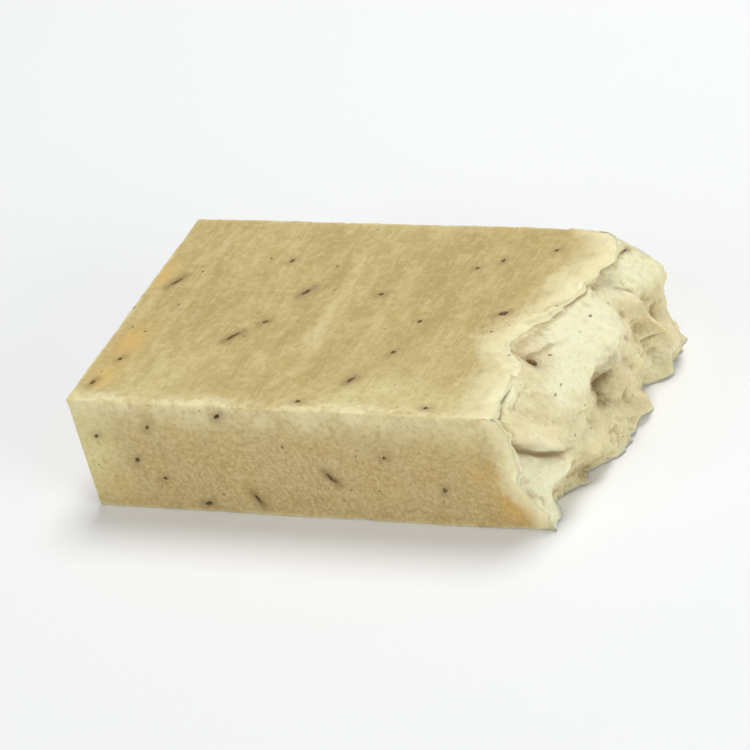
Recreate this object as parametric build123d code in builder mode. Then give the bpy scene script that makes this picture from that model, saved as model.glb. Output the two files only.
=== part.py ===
"""A bar of handmade soap cut from a block: smooth faces, one craggy end, dried herb set in its skin."""

from build123d import *
import math
import os

os.makedirs("parts", exist_ok=True)

# Driving dimensions, in millimetres and degrees. X runs along the bar to its craggy end, Y across it, Z up.
# The origin is under the middle of the bar, on the large cut face that it rests on.
bar_length = 91.0  # smooth end to the furthest crag
bar_width = 55.5  # between the two moulded sides
bar_thickness = 22.5  # between the two cut faces
upper_face_length = 79.0  # smooth end to where the corners of the upper face break into the craggy end
mould_corner_radius = 0.9  # upright edges of the smooth end, from the mould's corners
cut_edge_radius = 0.4  # edges that the cutting wire left, a little rubbed

fleck_depth = 0.7  # how deep a bit of herb reaches into the soap
fleck_width = 0.8  # across a bit of herb at its widest
fleck_margin = 3.2  # clear strip kept between a hidden face's edges and its herb

# Craggy end: how far its foot stands out past its brow, and how far it swells between the two.
end_lean = 7.0
end_swell = 3.6
swell_power = 6  # a higher one keeps the swell fuller up to the near side and the brow
facet_size = 1.35  # side of the small facets that the torn surface is made of
facet_jog = 0.3  # how far a facet's corners wander in the surface, so that no rows show
jog_across, jog_up = (7.1, 3.3), (5.3, -4.1)  # turn of the wander from row to row and from column to column
end_spare = 2.0  # how far the torn surface and the blank run past the bar

# Lumps and hollows of the craggy end: share of the width from the near side, share of the thickness from the
# floor, how far it stands out (a hollow is negative), its reach across and its reach up.
crags = [
    (0.57, 0.72, 3.8, 8.5, 5.6),  # the big smooth lump
    (0.85, 1.03, 5.2, 8.0, 2.0),  # lip of the upper face above it
    (1.03, 1.04, -4.6, 2.6, 2.6),  # its rounded far corner
    (0.41, 1.00, -5.2, 5.2, 2.2),  # where that lip has broken away
    (0.00, 0.95, 1.4, 3.6, 5.0),  # near lip
    (0.60, 0.10, 1.8, 3.0, 3.0),  # flake at the foot of the lump
    (0.49, 0.48, -3.6, 2.6, 3.2),  # hollow under the lump
    (0.40, 0.34, -1.4, 2.4, 2.6),
    (0.68, 0.54, 1.0, 2.0, 3.6),  # upright ridges beside the lump
    (0.81, 0.40, -1.8, 1.5, 4.0),
    (0.58, 0.34, 1.2, 1.9, 2.6),
    (0.89, 0.20, 2.6, 3.2, 4.0),  # torn flake at the far lower corner
    (1.00, 0.64, 3.8, 5.2, 5.2),  # rounded far shoulder
    (0.31, 0.03, -2.8, 2.6, 2.4),  # notches in the lower edge
    (0.17, 0.04, -5.4, 4.8, 4.2),
    (0.71, 0.02, -3.0, 2.4, 2.6),
    (0.12, 0.44, 1.8, 3.4, 3.2),  # slope that flares from the near side
    (0.02, 0.42, -2.2, 1.9, 4.4),
    (0.17, 0.84, -1.6, 2.6, 3.6),  # cleft beside the near lip
    (0.26, 0.62, 1.5, 2.8, 3.4),
    (0.74, 0.88, -1.4, 5.0, 1.5),  # groove under the lip
]

# Fine creases over the whole craggy end: height, and the length of one wave across and up.
crease_height = 0.45
crease_across = 6.5
crease_up = 5.0


def stand_out(across, up):
    """How far the craggy end stands out past the upper face's corners, before the bar's length scales it."""
    y, z = across * bar_width, up * bar_thickness
    swell = (1 - (1 - min(max(across, 0), 1)) ** swell_power) * (1 - max(up, 0) ** swell_power)
    lumps = sum(
        height * math.exp(-(((y - a * bar_width) / reach_y) ** 2) - ((z - u * bar_thickness) / reach_z) ** 2)
        for a, u, height, reach_y, reach_z in crags
    )
    bend = z / crease_up + math.sin(y / crease_across)
    crease = crease_height * (1 - 2 * abs(math.sin(y / crease_across * math.pi + bend) * math.cos(bend * 2)))
    return end_lean * (1 - up) + end_swell * swell + lumps + crease


smooth_end_x = -bar_length / 2
brow_x = smooth_end_x + upper_face_length
blank_end_x = bar_length / 2 + end_spare
rows = math.ceil((bar_width + 2 * end_spare) / facet_size)
columns = math.ceil((bar_thickness + 2 * end_spare) / facet_size)


def torn_place(i, j):
    """Shares of the width and the thickness at a facet corner in row i across the bar and column j up it."""
    y = i / rows * (bar_width + 2 * end_spare) - end_spare
    z = j / columns * (bar_thickness + 2 * end_spare) - end_spare
    y += facet_jog * math.sin(jog_across[0] * i + jog_across[1] * j)
    z += facet_jog * math.sin(jog_up[0] * i + jog_up[1] * j)
    return y / bar_width, z / bar_thickness


# The furthest crag lies at the bar's full length.
places = [torn_place(i, j) for i in range(rows + 1) for j in range(columns + 1)]
furthest = max(stand_out(across, up) for across, up in places if 0 <= across <= 1 and 0 <= up <= 1)
reach_scale = (bar_length - upper_face_length) / furthest


def torn_point(i, j):
    """The facet corner in row i and column j."""
    across, up = torn_place(i, j)
    x = brow_x + reach_scale * stand_out(across, up)
    return Vector(x, (across - 0.5) * bar_width, up * bar_thickness)


def torn_facets(i, j):
    """The two facets between four neighbouring corners, parted along the shorter diagonal."""
    a, b, c, d = torn_point(i, j), torn_point(i + 1, j), torn_point(i + 1, j + 1), torn_point(i, j + 1)
    halves = ((a, b, c), (a, c, d)) if (c - a).length < (d - b).length else ((a, b, d), (b, c, d))
    return [Face(Wire.make_polygon(half)) for half in halves]


torn_surface = Shell([facet for i in range(rows) for j in range(columns) for facet in torn_facets(i, j)])

# Faces of the bar, each with its local X along the bar or across the smooth end, and its normal outwards.
upper_face = Plane.XY.offset(bar_thickness)
under_face = Plane(origin=(0, 0, 0), x_dir=(1, 0, 0), z_dir=(0, 0, -1))
near_side = Plane.XZ.offset(bar_width / 2)
far_side = Plane(origin=(0, bar_width / 2, 0), x_dir=(-1, 0, 0), z_dir=(0, 1, 0))
smooth_end = Plane(origin=(smooth_end_x, 0, 0), x_dir=(0, -1, 0), z_dir=(-1, 0, 0))

# Herb that shows: share of the upper face's length from the smooth end, share of the width from the near side
# or of the thickness from the floor, turn, and length in widths of a bit of herb.
upper_herb = [
    (0.061, 0.643, 62, 5.5),
    (0.295, 0.362, 54, 5.2),
    (0.347, 0.443, 40, 2.2),
    (0.394, 0.609, 58, 4.2),
    (0.575, 0.611, 20, 1.8),
    (0.886, 0.533, 35, 2.4),
    (0.637, 0.164, 60, 3.0),
    (0.706, 0.476, 0, 1.4),
    (0.691, 0.312, 70, 1.6),
    (0.761, 0.766, 30, 1.6),
    (0.810, 0.811, 80, 1.9),
    (0.062, 0.220, 50, 2.0),
    (0.308, 0.775, 65, 2.0),
    (0.548, 0.045, 15, 1.5),
    (0.846, 0.040, 0, 1.9),
    (0.038, 0.094, 75, 2.5),
    (0.918, 0.874, 55, 1.8),
]
near_herb = [
    (0.363, 0.907, 40, 2.4),
    (0.184, 0.773, 70, 2.0),
    (0.051, 0.671, 20, 1.6),
    (0.134, 0.462, 50, 2.0),
    (0.597, 0.387, -48, 4.0),
    (0.404, 0.151, -62, 3.5),
    (0.278, 0.084, 15, 2.4),
    (0.190, 0.302, 35, 1.5),
    (0.734, 0.600, 30, 1.5),
    (0.854, 0.329, 75, 1.8),
]

# Herb on the faces turned away is scattered evenly, with turns and lengths that never repeat.
under_herb_count = 16
far_herb_count = 11
end_herb_count = 7
golden_turn = 137.5
longest_scattered, shortest_scattered = 5.0, 1.5  # in widths of a bit of herb
scatter_x, scatter_y = 0.7549, 0.5698  # shares of one step of an even scatter over a rectangle


def scattered(count, low, high):
    """Places, turns and lengths of a face's herb, between a low and a high corner."""
    marks, more_widths = [], longest_scattered - shortest_scattered
    for i in range(1, count + 1):
        x = low[0] + (high[0] - low[0]) * (i * scatter_x % 1)
        y = low[1] + (high[1] - low[1]) * (i * scatter_y % 1)
        widths = shortest_scattered + more_widths * (i * scatter_x * scatter_y % 1) ** 2
        marks.append((x, y, i * golden_turn, widths))
    return marks


def herb_outline(x, y, turn, widths):
    """One bit of herb in the sketch: a blunt sliver, so many widths long."""
    half, side = widths * fleck_width / 2, fleck_width / 2
    with Locations((x, y)):
        Polygon(
            (-half, 0),
            (-0.4 * half, -side),
            (0.6 * half, -0.8 * side),
            (half, 0),
            (0.3 * half, side),
            (-0.6 * half, 0.7 * side),
            rotation=turn,
            align=None,
        )


hidden_x = (smooth_end_x + fleck_margin, smooth_end_x + upper_face_length - fleck_margin)
hidden_y = bar_width / 2 - fleck_margin
hidden_z = (fleck_margin, bar_thickness - fleck_margin)
upper_marks = [
    (smooth_end_x + along * upper_face_length, (across - 0.5) * bar_width, turn, widths)
    for along, across, turn, widths in upper_herb
]
near_marks = [
    (smooth_end_x + along * upper_face_length, up * bar_thickness, turn, widths)
    for along, up, turn, widths in near_herb
]
herb_by_face = [
    (upper_face, upper_marks),
    (near_side, near_marks),
    (under_face, scattered(under_herb_count, (hidden_x[0], -hidden_y), (hidden_x[1], hidden_y))),
    (far_side, scattered(far_herb_count, (-hidden_x[1], hidden_z[0]), (-hidden_x[0], hidden_z[1]))),
    (smooth_end, scattered(end_herb_count, (-hidden_y, hidden_z[0]), (hidden_y, hidden_z[1]))),
]

with BuildPart() as herb_flecks:
    for face, marks in herb_by_face:
        with BuildSketch(face):
            for mark in marks:
                herb_outline(*mark)
        extrude(amount=-fleck_depth)
herb_flecks.part.label = "herb_flecks"
export_step(herb_flecks.part, "parts/herb_flecks.step")

with BuildPart() as soap_bar:
    with BuildSketch(Plane.XY):
        with Locations((smooth_end_x, 0)):
            Rectangle(blank_end_x - smooth_end_x, bar_width, align=(Align.MIN, Align.CENTER))
    extrude(amount=bar_thickness)
    fillet(soap_bar.edges().filter_by(Axis.Z).group_by(Axis.X)[0], mould_corner_radius)
    fillet(soap_bar.faces().filter_by(Axis.Z).edges(), cut_edge_radius)
    split(bisect_by=torn_surface, keep=Keep.BOTTOM)
    add(herb_flecks.part, mode=Mode.SUBTRACT)
soap_bar.part.label = "soap_bar"
export_step(soap_bar.part, "parts/soap_bar.step")
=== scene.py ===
import bpy
import numpy as np
from mathutils import Matrix, Vector


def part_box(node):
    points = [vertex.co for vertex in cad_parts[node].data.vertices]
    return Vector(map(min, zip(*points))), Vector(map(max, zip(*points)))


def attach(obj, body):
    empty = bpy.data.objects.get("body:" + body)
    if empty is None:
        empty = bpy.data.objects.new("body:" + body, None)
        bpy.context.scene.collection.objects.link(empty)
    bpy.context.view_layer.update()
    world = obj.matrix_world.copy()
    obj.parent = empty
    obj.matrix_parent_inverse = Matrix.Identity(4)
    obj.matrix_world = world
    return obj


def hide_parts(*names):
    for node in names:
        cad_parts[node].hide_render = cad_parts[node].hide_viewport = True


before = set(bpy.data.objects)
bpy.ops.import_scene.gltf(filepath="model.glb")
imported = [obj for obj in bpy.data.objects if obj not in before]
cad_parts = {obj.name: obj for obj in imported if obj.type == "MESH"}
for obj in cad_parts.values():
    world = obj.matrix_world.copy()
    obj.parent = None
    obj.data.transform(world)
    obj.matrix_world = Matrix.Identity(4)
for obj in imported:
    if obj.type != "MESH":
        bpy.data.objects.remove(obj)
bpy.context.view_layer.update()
mm = 0.001

barLow, barHigh = (np.array(corner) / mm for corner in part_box("soap_bar"))
smoothEndX, furthestX = barLow[0], barHigh[0]
width, thickness = barHigh[1] - barLow[1], barHigh[2]


# Noise and mesh helpers

def smoothNoise(places, cell, seed, stretch=(1, 1, 1)):
    # Random slopes at the corners of a cubic lattice, blended over each cell by 6t^5 - 15t^4 + 10t^3.
    # Runs from about -1 to 1.
    cells = 64  # until it comes back to itself
    slopes = np.random.default_rng(seed).normal(size=(cells, cells, cells, 3))
    slopes /= np.linalg.norm(slopes, axis=-1, keepdims=True)
    spot = places / (cell * np.array(stretch)) + 31.7
    corner = np.floor(spot).astype(int)
    inside = spot - corner
    eased = inside ** 3 * (inside * (inside * 6 - 15) + 10)
    total = np.zeros(places.shape[:-1])
    for step in np.ndindex(2, 2, 2):
        near = np.array(step)
        slope = slopes[tuple(np.moveaxis((corner + near) % cells, -1, 0))]
        share = np.where(near, eased, 1 - eased).prod(-1)
        total += share * (slope * (inside - near)).sum(-1)
    return total * 1.5


def easeBetween(start, end, values):
    # 0 before start, 1 after end, and 3t^2 - 2t^3 between them.
    t = np.clip((values - start) / (end - start), 0, 1)
    return t * t * (3 - 2 * t)


def bell(away, reach):
    # 1 in the middle, dying away as exp(-d^2), where d is the distance over the reach.
    return np.exp(-((away / reach) ** 2))


def lineDistance(y, z, ends):
    # Distance from a line between two places, which side of it (the left one counts as positive),
    # and how far along it the nearest place is, from 0 to 1.
    (y0, z0), (y1, z1) = ends
    runY, runZ = y1 - y0, z1 - z0
    length = np.hypot(runY, runZ)
    along = ((y - y0) * runY + (z - z0) * runZ) / length ** 2
    nearest = np.clip(along, 0, 1)
    away = np.hypot(y - y0 - nearest * runY, z - z0 - nearest * runZ)
    side = np.sign(runY * (z - z0) - runZ * (y - y0))
    return away, side, along


def placesOf(shares):
    # Places on the lumpy end, from shares of the width and of the thickness.
    return [((across - 0.5) * width, up * thickness) for across, up in shares]


def bentLineDistance(y, z, stops):
    # Distance from a line through several places, and how far along it the nearest place is, from 0 to 1.
    lengths = [np.hypot(y1 - y0, z1 - z0) for (y0, z0), (y1, z1) in zip(stops, stops[1:])]
    best, share, run = np.full(y.shape, np.inf), np.zeros(y.shape), 0
    for ends, length in zip(zip(stops, stops[1:]), lengths):
        away, side, along = lineDistance(y, z, ends)
        closer = away < best
        best = np.where(closer, away, best)
        share = np.where(closer, (run + np.clip(along, 0, 1) * length) / sum(lengths), share)
        run += length
    return best, share


def newObject(name, data):
    made = bpy.data.objects.new(name, data)
    bpy.context.scene.collection.objects.link(made)
    return made


def makePiece(name, points, faces, replaced, material, marks=None):
    # Points are in millimetres. Marks are values for each point, which the material reads by name.
    mesh = bpy.data.meshes.new(name)
    mesh.from_pydata(points * mm, [], faces)
    mesh.polygons.foreach_set("use_smooth", np.ones(len(mesh.polygons), bool))
    for mark, values in (marks or {}).items():
        mesh.attributes.new(mark, "FLOAT", "POINT").data.foreach_set("value", values.astype(np.float32))
    mesh.materials.append(material)
    piece = newObject(name, mesh)
    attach(piece, "root")
    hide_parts(replaced)


# The bar's shape

soap = {
    "upperFaceLength": 79.0,  # smooth end to where the corners of the upper face meet the lumpy end
    "cutEdgeRadius": 0.38,
    "mouldCornerRadius": 0.9,
    "edgeWear": 0.22,  # how much the radius of an edge wanders
    "wearCell": 3.1,
    "chipRadius": 0.5,  # extra radius at a chip in an edge
    "chipCell": 1.7,
    "edgeTeeth": 0.42,  # extra radius at a small nick
    "teethCell": 0.9,
    "radiusLimits": (0.12, 1.2),
    "fineCell": 0.27,  # mesh cells of the lumpy end
    "edgeCell": 0.09,  # mesh cells next to an edge
    "edgeBand": 0.5,
    "ringStep": 0.75,  # mesh rings along the plain part
    "collarStart": 56.0,  # the finer rings start this far from the smooth end
    "collarRings": 52,
    "smoothRings": 9,  # rings in the first stretch from the smooth end
    "smoothStretch": 1.2,
    "waviness": 0.13,  # of the flat faces
    "wavinessCell": 17.0,
    "dragHeight": 0.03,  # of the lines that the cut left
    "dragCell": 2.4,
    "rindRoughness": 0.26,  # of the flat faces near the lumpy end
    "rindCell": 2.1,
    "rindGrainCell": 0.9,
    "rindReach": 9.0,
    "rindCreaseDepth": 0.4,
    "rindCreaseWidth": 0.55,
    "lipDip": 0.75,  # how far the faces round off into the lumpy end
    "lipReach": 2.2,  # on the faces
    "lipCapReach": 1.1,  # on the lumpy end itself
    "nearEdgeReach": 3.1,  # pale strips, partly rubbed and partly a painted highlight: either side of the near upper edge
    "nearBandReach": 6.0,  # down the near side
    "edgeReach": 0.8,  # along every edge
}

lumpyEnd = {
    "lean": 7.0,
    "swell": 3.6,
    "swellPower": 6,
    "creaseHeight": 0.45,
    "creaseAcross": 6.5,
    "creaseUp": 5.0,
    "foldSize": 5.6,  # soft folds of the poured paste
    "foldHeight": 1.1,
    "knobSize": 2.5,
    "knobHeight": 0.5,
    "crumbSize": 0.95,
    "crumbHeight": 0.30,
    "grainSize": 0.52,
    "grainHeight": 0.12,
    "bitSize": 1.25,
    "bitHeight": 0.55,
    "pitSize": 2.1,
    "pitDepth": 0.28,
    "bowlCount": 110,  # broken facets
    "bowlTilt": 0.30,
    "bowlDish": 0.11,
    "bowlShake": 0.4,  # how far their ridges stray
    "bowlShakeSize": 1.4,
    "bowlBlur": 160,  # rounds
    "breakHeight": 1.35,
    "swipeSize": 7.0,  # smooth swipes among rough paste
    "clusterSize": 3.8,  # clusters of bits
    "crumbled": [(1.25, 1.8), (0.7, 0.9)],  # size and height of the crumbs where the foot fell apart
    "drag": 1.3,  # how far the folds are dragged about in the surface
    "dragSize": 4.5,
    "shake": 0.5,  # how far a crack or a lip strays from its drawn line
    "shakeSize": 3.2,
    "stopBand": 0.8,  # what would pass the furthest crag is pressed into this last stretch
}

# Lumps and hollows of the lumpy end: share of the width from the near side, share of the thickness from the
# floor, how far it stands out (a hollow is negative), its reach across and its reach up, in millimetres.
lumps = [
    (0.57, 0.72, 3.8, 8.5, 5.6),  # the big smooth lump
    (0.85, 1.03, 5.2, 8.0, 2.0),  # lip of the upper face above it
    (1.03, 1.04, -4.6, 2.6, 2.6),  # its rounded far corner
    (0.41, 1.00, -5.2, 5.2, 2.2),  # where that lip has broken away
    (0.00, 0.95, 1.4, 3.6, 5.0),  # near lip
    (0.60, 0.10, 1.8, 3.0, 3.0),  # flake at the foot of the lump
    (0.49, 0.48, -3.6, 2.6, 3.2),  # hollow under the lump
    (0.40, 0.34, -1.4, 2.4, 2.6),
    (0.68, 0.54, 1.0, 2.0, 3.6),  # upright ridges beside the lump
    (0.81, 0.40, -1.8, 1.5, 4.0),
    (0.58, 0.34, 1.2, 1.9, 2.6),
    (0.89, 0.20, 2.6, 3.2, 4.0),  # torn flake at the far lower corner
    (1.00, 0.64, 3.8, 5.2, 5.2),  # rounded far shoulder
    (0.31, 0.03, -2.8, 2.6, 2.4),  # notches in the lower edge
    (0.17, 0.04, -5.4, 4.8, 4.2),
    (0.71, 0.02, -3.0, 2.4, 2.6),
    (0.12, 0.44, 1.8, 3.4, 3.2),  # slope that flares from the near side
    (0.02, 0.42, -2.2, 1.9, 4.4),
    (0.17, 0.84, -1.6, 2.6, 3.6),  # cleft beside the near lip
    (0.26, 0.62, 1.5, 2.8, 3.4),
    (0.74, 0.88, -1.4, 5.0, 1.5),  # groove under the lip
]

# Cracks between folds: bent lines through places given as shares of the width and of the thickness, then
# the depth and the half width in millimetres. Each tapers towards its ends.
cracks = [
    ([(0.47, 0.985), (0.60, 0.975), (0.74, 0.95), (0.87, 0.89), (1.00, 0.83)], 1.0, 0.36),  # under the lip
    ([(0.19, 0.985), (0.10, 0.965), (0.03, 0.95), (0.022, 0.85), (0.014, 0.76)], 1.4, 0.38),  # near lip
    ([(0.014, 0.80), (0.03, 0.70), (0.048, 0.655), (0.082, 0.536), (0.174, 0.40), (0.22, 0.36)], 1.9, 0.48),
    ([(0.61, 0.68), (0.59, 0.62), (0.54, 0.46), (0.47, 0.37), (0.44, 0.35)], 2.0, 0.65),  # in the hollow
    ([(0.95, 0.47), (0.923, 0.44), (0.845, 0.33), (0.745, 0.27), (0.71, 0.26)], 1.2, 0.42),  # far flank
    ([(0.355, 0.99), (0.32, 0.93), (0.37, 0.92), (0.49, 0.87)], 1.1, 0.42),  # pit by the broken lip
    ([(0.71, 0.48), (0.69, 0.53), (0.64, 0.63)], 0.9, 0.40),
    ([(0.555, 0.16), (0.56, 0.24), (0.57, 0.36)], 0.9, 0.40),
    ([(0.80, 0.80), (0.86, 0.66), (0.84, 0.52)], 0.8, 0.38),
    ([(0.30, 0.52), (0.37, 0.44), (0.38, 0.30)], 0.6, 0.36),
]

# Folded lips, raised on the left of a line and falling away from it: ends of the line, height and reach.
lips = [
    ((0.014, 0.78), (0.17, 0.41), 1.5, 2.6),  # brow over the near slope
    ((0.45, 0.38), (0.58, 0.64), 1.0, 2.4),  # lump's edge over the hollow
    ((0.62, 0.24), (0.61, 0.46), 0.7, 1.6),
    ((0.75, 0.24), (0.93, 0.45), 0.5, 1.8),
    ((0.20, 0.16), (0.32, 0.20), 0.9, 1.8),
    ((0.46, 0.22), (0.56, 0.06), 0.7, 1.8),
]

# Spots that crumbled: share of the width and of the thickness, strength and reach each way.
crumbledSpots = [
    (0.28, 0.08, 1.0, 5.0, 3.4),
    (0.47, 0.05, 0.8, 4.0, 2.4),
    (0.72, 0.04, 0.6, 4.0, 2.4),
    (0.22, 0.33, 0.35, 2.4, 2.6),
    (0.92, 0.52, 0.3, 3.0, 2.6),
]


def sumOfBells(y, z, bells):
    # At each listed place a bell of its strength.
    across, up, total = y / width + 0.5, z / thickness, np.zeros(y.shape)
    for a, u, strength, reachY, reachZ in bells:
        total += strength * bell((across - a) * width, reachY) * bell((up - u) * thickness, reachZ)
    return total


def mainStandOut(y, z):
    # How far the lumpy end stands out past the upper face's corners: a lean, a swell that dies away at the
    # near side and the upper face, a bell for each lump and one set of crossing creases.
    across, up = y / width + 0.5, z / thickness
    full = 1 - (1 - np.clip(across, 0, 1)) ** lumpyEnd["swellPower"]
    swell = lumpyEnd["swell"] * full * (1 - np.maximum(up, 0) ** lumpyEnd["swellPower"])
    total = lumpyEnd["lean"] * (1 - up) + swell + sumOfBells(y, z, lumps)
    fromNear = across * width / lumpyEnd["creaseAcross"]
    bend = z / lumpyEnd["creaseUp"] + np.sin(fromNear)
    waves = np.abs(np.sin(fromNear * np.pi + bend) * np.cos(bend * 2))
    return total + lumpyEnd["creaseHeight"] * (1 - 2 * waves)


def softSize(values, softness=0.1):
    # The size of a value with the corner at nothing rounded off.
    return np.sqrt(values ** 2 + softness ** 2) - softness


def blurred(values, rounds):
    # Each round gives a value half of itself and a quarter of each neighbour, one way, then the other.
    for turn in range(rounds):
        values = np.pad(values, 1, mode="edge")
        values = (values[:-2] + 2 * values[1:-1] + values[2:]) / 4
        values = (values[:, :-2] + 2 * values[:, 1:-1] + values[:, 2:]) / 4
    return values


def inSpace(y, z):
    return np.stack([np.zeros_like(y), y, z], -1)


def breaksOf(y, z):
    # Dished facets with sharp ridges between them: at each place, the lowest of many shallow tilted bowls,
    # less its own blur.
    random = np.random.default_rng(51)
    spot = inSpace(y, z)
    shakyY = y + lumpyEnd["bowlShake"] * smoothNoise(spot, lumpyEnd["bowlShakeSize"], 52)
    shakyZ = z + lumpyEnd["bowlShake"] * smoothNoise(spot, lumpyEnd["bowlShakeSize"], 53)
    lowest = np.full(y.shape, np.inf)
    for i in range(lumpyEnd["bowlCount"]):
        fromY = shakyY - random.uniform(-width / 2 - 2, width / 2 + 2)
        fromZ = (shakyZ - random.uniform(-2, thickness + 2)) * 0.9
        tiltY, tiltZ = random.normal(0, lumpyEnd["bowlTilt"], 2)
        bowl = random.uniform(-0.6, 0.6) + tiltY * fromY + tiltZ * fromZ
        dish = lumpyEnd["bowlDish"] * random.uniform(0.4, 2.0)
        lowest = np.minimum(lowest, bowl + dish * (fromY ** 2 + fromZ ** 2))
    return lowest - blurred(lowest, lumpyEnd["bowlBlur"])


def brokenShare(across, up):
    # Where the paste broke instead of flowing: the far flank below the lump, and along the foot.
    flank = easeBetween(0.60, 0.72, across + 0.25 * (0.5 - up)) * easeBetween(0.80, 0.62, up)
    foot = easeBetween(0.30, 0.12, up - 0.1 * np.sin(across * 30))
    return np.clip(0.2 + 0.75 * flank + 0.7 * foot, 0, 1)


def shaken(y, z):
    # Moves each place a little, so that a drawn line strays.
    spot = inSpace(y, z)
    shakyY = y + lumpyEnd["shake"] * smoothNoise(spot, lumpyEnd["shakeSize"], 18)
    return shakyY, z + lumpyEnd["shake"] * smoothNoise(spot, lumpyEnd["shakeSize"], 19)


def eachCrack(y, z):
    # Depth and half width of a crack, the distance from it, and its taper, the root of a half sine wave.
    for shares, depth, halfWidth in cracks:
        away, share = bentLineDistance(y, z, placesOf(shares))
        yield depth, halfWidth, away, np.sin(np.pi * np.clip(share, 0.02, 0.98)) ** 0.5


def foldsOf(y, z):
    # Paste detail: rounded folds and knobs, each the size of a noise with its sign dropped, then breaks,
    # crumbs, cracks and the folded lips.
    spot = inSpace(y, z)
    dragged = spot + lumpyEnd["drag"] * inSpace(
        smoothNoise(spot, lumpyEnd["dragSize"], 11), smoothNoise(spot, lumpyEnd["dragSize"], 12))
    fold = softSize(smoothNoise(dragged, lumpyEnd["foldSize"], 13, (1, 1.25, 0.8)))
    knob = softSize(smoothNoise(dragged, lumpyEnd["knobSize"], 14))
    crumb = smoothNoise(dragged, lumpyEnd["crumbSize"], 15)
    grain = smoothNoise(spot, lumpyEnd["grainSize"], 16)
    across, up = y / width + 0.5, z / thickness
    rough = easeBetween(-0.45, 0.35, smoothNoise(spot, lumpyEnd["swipeSize"], 17))
    onLump = bell(across - 0.60, 0.17) * bell(up - 0.80, 0.17)
    rough = rough * (1 - 0.6 * onLump)
    height = lumpyEnd["foldHeight"] * (fold - 0.25) * (1 - 0.5 * onLump)
    height += lumpyEnd["knobHeight"] * (knob - 0.25) * (0.3 + 0.7 * rough)
    broken = brokenShare(across, up)
    height = height * (1 - 0.4 * broken) + lumpyEnd["breakHeight"] * broken * breaksOf(y, z)
    crumbly = np.clip(0.35 + 0.5 * rough + 0.4 * broken, 0, 1)
    height += lumpyEnd["crumbHeight"] * crumb * crumbly
    bits = softSize(smoothNoise(dragged, lumpyEnd["bitSize"], 55), 0.04) - 0.2
    clustered = easeBetween(0.0, 0.5, smoothNoise(spot, lumpyEnd["clusterSize"], 56) + 0.5 * broken)
    height += lumpyEnd["bitHeight"] * bits * clustered
    height += lumpyEnd["grainHeight"] * grain * crumbly
    crumbled = sumOfBells(y, z, crumbledSpots)
    for seed, (size, rise) in enumerate(lumpyEnd["crumbled"], 57):
        height += rise * crumbled * (softSize(smoothNoise(dragged, size, seed), 0.03) - 0.22)
    pitted = easeBetween(0.38, 0.62, smoothNoise(spot, lumpyEnd["pitSize"], 54))
    height -= lumpyEnd["pitDepth"] * crumbly * pitted
    shakyY, shakyZ = shaken(y, z)
    for depth, halfWidth, away, taper in eachCrack(shakyY, shakyZ):
        height -= depth * taper * bell(away, halfWidth * (0.4 + 0.6 * taper))
    for start, end, rise, reach in lips:
        away, side, along = lineDistance(shakyY, shakyZ, placesOf((start, end)))
        signed = away * side
        within = easeBetween(-0.2, 0.25, along) * easeBetween(-0.2, 0.25, 1 - along)
        raised = easeBetween(-0.35, 0.25, signed) * bell(np.maximum(signed, 0), reach)
        height += rise * within * raised
    return height


def crackShadeAt(y, z):
    # Painted shade: 1 along the middle of a deep crack, fading beside it.
    shade = np.zeros_like(y)
    for depth, halfWidth, away, taper in eachCrack(*shaken(y, z)):
        shade = np.maximum(shade, min(1, depth / 1.6) * taper * bell(away, 1.2 * halfWidth))
    return shade


def placesAlong(length, cell, edgeCell, edgeBand):
    # Places from 0 to length, an even count of cells: small ones within the band at each end, even between.
    small = int(round(edgeBand / edgeCell / 2)) * 2
    band = np.linspace(0, edgeBand, small + 1)
    even = int(round((length - 2 * edgeBand) / cell / 2)) * 2
    middle = np.linspace(edgeBand, length - edgeBand, even + 1)
    return np.concatenate([band[:-1], middle, length - band[::-1][1:]])


def rimOf(grid):
    # The outer loop of a grid of ids or values, from its first corner and once round.
    return np.concatenate([grid[:, 0], grid[-1, 1:], grid[-2::-1, -1], grid[0, -2:0:-1]])


def gridFaces(ids):
    return np.stack([ids[:-1, :-1], ids[1:, :-1], ids[1:, 1:], ids[:-1, 1:]], -1).reshape(-1, 4)


def ringFaces(first, second):
    # Quads between two loops with as many points each.
    return np.stack([first, np.roll(first, -1), np.roll(second, -1), second], -1)


def halvingFaces(coarse, fine):
    # Triangles between a loop and one with twice as many points.
    nextCoarse = np.roll(coarse, -1)
    even, odd, nextEven = fine[::2], fine[1::2], np.roll(fine[::2], -1)
    return np.concatenate([
        np.stack([coarse, nextCoarse, odd], -1), np.stack([coarse, odd, even], -1),
        np.stack([nextCoarse, nextEven, odd], -1)])


def edgeRadius(points):
    # Each long edge wanders between sharp and rubbed, with chips and small nicks, deeper at the foot; the
    # corners that the mould made are rounder.
    wander = smoothNoise(points, soap["wearCell"], 21, (1, 6, 6))
    chips = easeBetween(0.42, 0.75, smoothNoise(points, soap["chipCell"], 22, (1, 5, 5)))
    teeth = np.maximum(smoothNoise(points, soap["teethCell"], 23, (1, 5, 5)), 0)
    teeth *= 1 + easeBetween(2, 0.5, points[..., 2])
    cut = soap["cutEdgeRadius"] + soap["edgeWear"] * wander + soap["edgeTeeth"] * teeth
    cut += soap["chipRadius"] * chips
    fromCut = np.minimum(points[..., 2], thickness - points[..., 2])
    atMould = easeBetween(0.4, 2.5, fromCut) * (1 - easeBetween(1, 3, points[..., 0] - smoothEndX))
    radius = cut + (soap["mouldCornerRadius"] - cut) * atMould
    return np.clip(radius, *soap["radiusLimits"])[..., None]


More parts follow.
